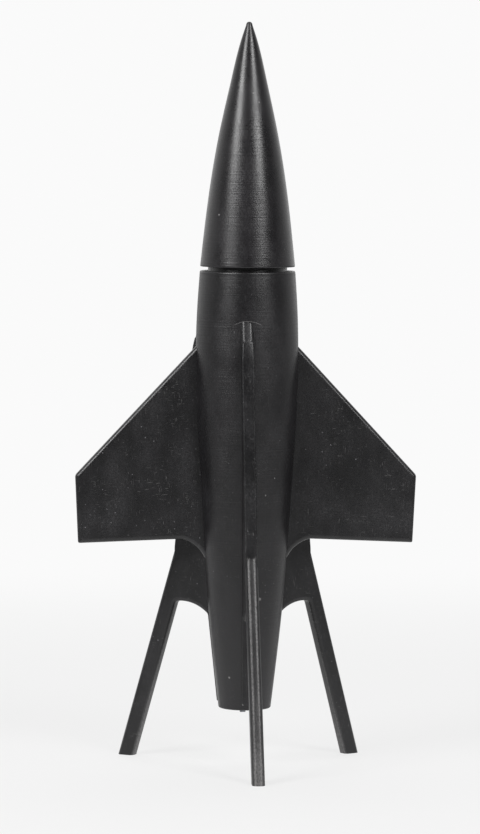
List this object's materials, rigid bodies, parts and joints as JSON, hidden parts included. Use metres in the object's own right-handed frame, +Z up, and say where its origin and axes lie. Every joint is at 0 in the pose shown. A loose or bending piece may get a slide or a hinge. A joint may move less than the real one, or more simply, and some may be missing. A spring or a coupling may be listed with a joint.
{
  "type": "model rocket",
  "caption": "Slender model rocket with a lift-off ogive nose, swept flat wings and flat plate legs that it stands on.",
  "frame": {"origin": "on the rocket's axis at the mouth of the motor tube, 32.6 mm above the ground that the feet stand on", "axes": "+Z up along the rocket's axis to the nose tip, X along the wings, -Y towards the front leg"},
  "size_m": [0.1884, 0.118, 0.4091],
  "materials": {
    "black_lacquered_nose": "satin black lacquer over turned wood",
    "black_lacquered_body": "satin black lacquer over turned wood",
    "black_lacquered_plate": "flatter satin black lacquer over cut sheet wood, scuffed",
    "plywood": "bare birch plywood",
    "kraft_tube": "spiral-wound kraft paper tube",
    "white_tube": "glassine-faced paper tube",
    "bright_steel": "zinc-bright steel wire",
    "spring_steel": "blued spring steel strip",
    "black_band": "black coated paper band"
  },
  "bodies": {
    "airframe": {"body_shell": "black_lacquered_body", "bay_liner": "white_tube", "shoulder_stop": "kraft_tube", "forward_ring": "plywood", "anchor_screw_eye": "bright_steel", "middle_ring": "plywood", "tail_ring": "plywood", "motor_tube": "kraft_tube", "blast_tube": "kraft_tube", "thrust_ring": "kraft_tube", "hook_band": "black_band", "left_wing": "black_lacquered_plate", "right_wing": "black_lacquered_plate", "front_leg": "black_lacquered_plate", "rear_left_leg": "black_lacquered_plate", "rear_right_leg": "black_lacquered_plate", "upper_launch_lug": "black_lacquered_plate", "lower_launch_lug": "black_lacquered_plate", "upper_lug_block": "black_lacquered_plate", "lower_lug_block": "black_lacquered_plate"},
    "nose": {"nose_cone": "black_lacquered_nose", "nose_shoulder": "black_lacquered_nose", "nose_bulkhead": "plywood", "nose_screw_eye": "bright_steel", "nose_weight": "bright_steel", "nose_weight_screw": "bright_steel"},
    "hook": {"motor_hook": "spring_steel"}
  },
  "joints": [
    {"name": "nose_lift", "type": "slide", "parent": "airframe", "child": "nose", "axis": [0, 0, 1], "range_m": [0, 0.05]},
    {"name": "motor_hook_flex", "type": "hinge", "parent": "airframe", "child": "hook", "pos_m": [0, 0.01315, 0.0634], "axis": [1, 0, 0], "range_deg": [0, 2.2], "stiffness_Nm_per_rad": 0.5}
  ]
}
